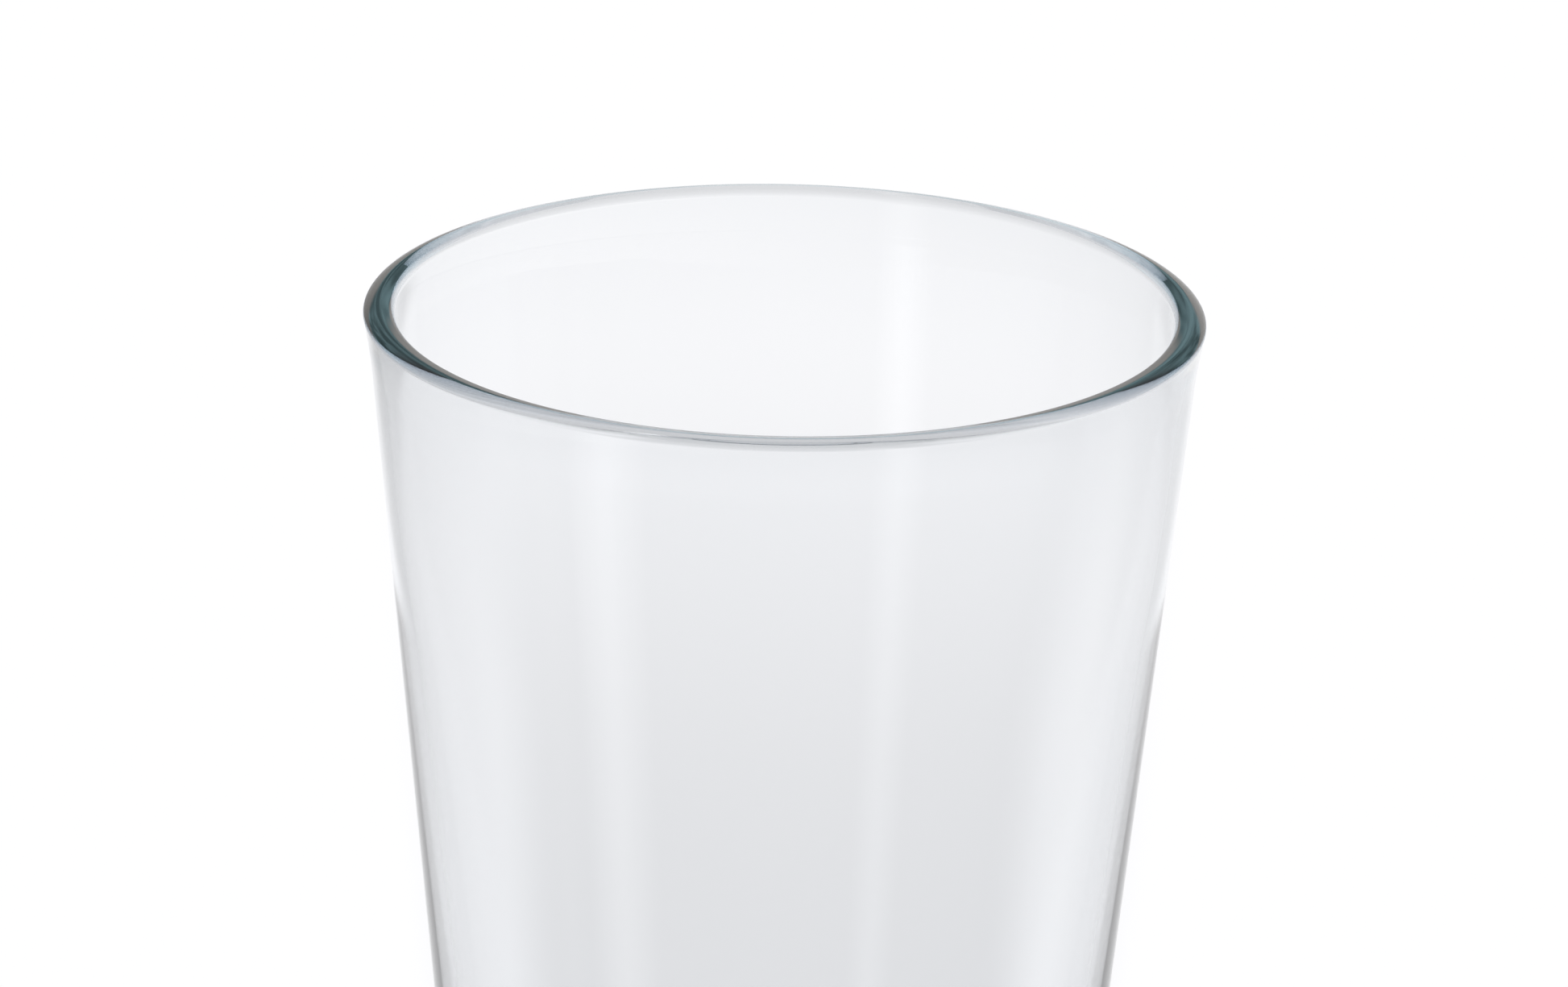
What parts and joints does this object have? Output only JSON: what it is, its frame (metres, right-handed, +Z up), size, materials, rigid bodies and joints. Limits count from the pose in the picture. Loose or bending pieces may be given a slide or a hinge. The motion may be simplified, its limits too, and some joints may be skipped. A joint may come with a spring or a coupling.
{
  "type": "pint glass",
  "caption": "Straight-sided conical pint glass of clear soda-lime glass, with a thickened rounded lip and a hollowed foot, for serving cold drinks.",
  "frame": {"origin": "centre of the bearing ring under the foot, on the plane the glass stands on", "axes": "+Z up the glass's axis, from the foot to the mouth; the glass is round about Z, so +X and +Y are any two level directions, with one heel notch centred on +X"},
  "size_m": [0.089, 0.089, 0.152],
  "materials": {
    "clear_glass": "clear soda-lime glass with a faint green tint, fire-polished all over"
  },
  "bodies": {
    "root": {"glass_body": "clear_glass"}
  },
  "joints": []
}
